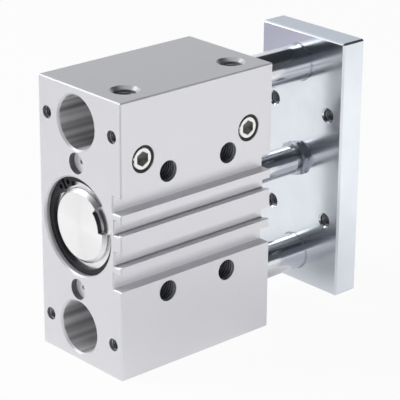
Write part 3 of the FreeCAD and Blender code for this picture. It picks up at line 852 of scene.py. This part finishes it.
@dataclass
class Studio:
    """White set with a pale floor, soft lamps for matt light and cards for reflections."""

    floor_size: float = 12.0
    floor_tone: str = "F4F4F5"
    glow_share: float = 0.95
    mirrored_share: float = 0.85
    fill: float = 0.05
    boxes: tuple[SoftBox, ...] = (
        SoftBox("left_back_softbox", (-0.85, 1.0, 1.0), 1.1, 0.55, power=21.0),
        SoftBox("left_softbox", (-1.8, -0.6, 0.1), 1.0, 0.4, power=12.8),
        SoftBox("front_softbox", (0.25, -2.3, 0.03), 1.2, 0.16, power=35.0),
    )
    # Bright cards give the metal its light sides, dark ones the bands along the rods and the plate's shade.
    cards: tuple[StudioCard, ...] = (
        StudioCard("dark_ceiling", (0.3, 0.0, 1.3), 10.0, 10.0, "303238", fade=0.55, facing=DOWN),
        StudioCard("overhead_card", (0.0, 0.0, 1.25), 1.3, 1.3, "F4F4F6", fade=0.3, facing=DOWN),
        StudioCard("left_back_card", (-0.7, 1.1, 1.05), 1.6, 0.9, WHITE, fade=0.5, strength=3.0),
        StudioCard("back_right_card", (1.6, 1.5, 0.95), 2.6, 1.9, "F2F5F8", fade=0.1),
        StudioCard("front_right_flag", (1.1, -1.2, 0.64), 2.8, 1.1, "54565C", fade=0.25),
        StudioCard("camera_flag", (-1.3, -1.4, 0.55), 2.0, 1.2, "60626A", fade=0.3),
        StudioCard("front_floor_shade", on_floor(0.09, -0.1, 4), 0.36, 0.18, "C0C0C4", fade=0.9, facing=UP),
        StudioCard("front_floor_card", on_floor(0.3, -0.3, 6), 0.6, 0.6, WHITE, fade=0.6, facing=UP,
                   strength=1.06),
        StudioCard("under_rods_shade", on_floor(0.12, 0.0, 3), 0.1, 0.13, "A8A8AC", fade=0.8, facing=UP),
        StudioCard("camera_side_flag", on_floor(-0.3, -0.16, 5), 0.5, 0.5, "141416", fade=0.35, facing=UP),
        StudioCard("grey_left_card", on_floor(-0.08, 0.525, 5), 0.6, 0.5, "B9B4C4", fade=0.1, facing=UP),
    )

    def floor(self) -> None:
        """Lays a white floor that keeps a soft shadow."""
        made = blank_material("paper_white_matt")
        tree = made.node_tree
        rays = add_node(tree, "ShaderNodeLightPath")
        mirrored = add_node(tree, "ShaderNodeMath", {0: rays.outputs["Is Glossy Ray"],
                                                     1: rays.outputs["Is Transmission Ray"]},
                            operation="MAXIMUM").outputs[0]
        shown = add_node(tree, "ShaderNodeMath", {0: mirrored, 1: self.mirrored_share},
                         operation="MULTIPLY").outputs[0]
        share = add_node(tree, "ShaderNodeMath", {0: rays.outputs["Is Camera Ray"], 1: self.glow_share,
                                                  2: shown}, operation="MULTIPLY_ADD").outputs[0]
        paper = add_node(tree, "ShaderNodeBsdfDiffuse", {"Color": linear(self.floor_tone)})
        white = add_node(tree, "ShaderNodeEmission", {"Color": linear(WHITE), "Strength": 1.0})
        mixed = add_node(tree, "ShaderNodeMixShader", {0: share, 1: paper.outputs[0], 2: white.outputs[0]})
        add_node(tree, "ShaderNodeOutputMaterial", {"Surface": mixed.outputs[0]})
        mesh = bmesh.new()
        bmesh.ops.create_grid(mesh, x_segments=1, y_segments=1, size=self.floor_size / 2,
                              matrix=Matrix.Translation((0, 0, FLOOR)))
        floor = linked_object("floor", mesh, made)

    def world(self) -> None:
        """Lights the set evenly, and shows white to the camera and in reflections."""
        world = bpy.data.worlds.new("white_set")
        world.use_nodes = True
        tree = world.node_tree
        tree.nodes.clear()
        rays = add_node(tree, "ShaderNodeLightPath")
        seen = add_node(tree, "ShaderNodeMath", {0: rays.outputs["Is Camera Ray"],
                                                 1: rays.outputs["Is Glossy Ray"]},
                        operation="MAXIMUM").outputs[0]
        seen = add_node(tree, "ShaderNodeMath", {0: seen, 1: rays.outputs["Is Transmission Ray"]},
                        operation="MAXIMUM").outputs[0]
        strength = add_node(tree, "ShaderNodeMix", {0: seen, 2: self.fill, 3: 1.0}).outputs[0]
        sky = add_node(tree, "ShaderNodeBackground", {"Color": linear(WHITE), "Strength": strength})
        add_node(tree, "ShaderNodeOutputWorld", {"Surface": sky.outputs[0]})
        bpy.context.scene.world = world

    def build(self) -> None:
        """Sets floor, world, lamps, cards and the view settings."""
        bpy.context.scene.view_settings.view_transform = "Standard"
        target = (cad_low + cad_high) / 2
        self.floor()
        self.world()
        for box in self.boxes:
            box.light(target)
        for card in self.cards:
            card.stand(target)


def main() -> None:
    """Builds every sub-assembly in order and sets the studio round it."""
    logging.basicConfig(level=logging.INFO, format="%(name)s: %(message)s")
    low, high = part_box("piston_rod")
    axis_y = (low.y + high.y) / 2 / MM
    # Nitrile rubber is a deep matt black with a soft skin from its mould.
    rubber = Finish(name="nitrile_rubber_moulded", light="2A2A2C", dark="18181A", metallic=0.0, smoothest=0.5,
                    roughest=0.62, lay=Lay.MOULDED, spacing=0.8, relief=0.01).material()
    # Ground hard chrome is a cool mirror that throws long sharp bands along the rod.
    chrome = Finish(name="steel_hard_chrome_ground", light="E4E6EA", dark="DCDEE3", metallic=1.0,
                    smoothest=0.12, roughest=0.18, lay=Lay.GROUND, spacing=0.4, relief=0.0004,
                    axis_y=axis_y).material()
    # Sintered bronze is a dull gold brown, pitted with pores that hold the oil.
    bronze = Finish(name="bronze_sintered", light="A07A48", dark="6E5230", metallic=0.9, smoothest=0.4,
                    roughest=0.6, lay=Lay.SINTERED, spacing=0.35, relief=0.01).material()
    # Zinc plated steel hexagons are cool grey, with fine marks of the bar that they were cut from.
    plated = Finish(name="steel_bright_drawn_zinc", light="C6CAD0", dark="AEB2B9", metallic=1.0,
                    smoothest=0.18, roughest=0.3, lay=Lay.MILLED, spacing=0.6, relief=0.004).material()
    # A thread that is cut through the oxide shows bare metal with a clear gloss on its flanks.
    bright_thread = Finish(name="metal_thread_cut_bare", light="CCCDD2", dark="B4B5BA", metallic=1.0,
                           smoothest=0.22, roughest=0.35, lay=Lay.MOULDED, spacing=0.7,
                           relief=0.004).material()
    # A deep tapped hole swallows most of the light, so its thread is painted a darker shade.
    shaded_thread = Finish(name="metal_thread_cut_painted_shade", light="98999E", dark="84858A", metallic=1.0,
                         smoothest=0.3, roughest=0.45, lay=Lay.MOULDED, spacing=0.7, relief=0.004).material()
    block = HousingBlock()
    block.build(bright_thread, shaded_thread)
    EndCaps().build(axis_y, rubber)
    BlankingPlugs().build(rubber)
    GuideUnit().build(rubber, chrome, bronze, plated)
    YokePlate().build(bright_thread, block)
    PistonUnit().build(axis_y, rubber, chrome, bronze, plated)
    Studio().build()
    ViewPoint().place()


if __name__ == "__main__":
    main()
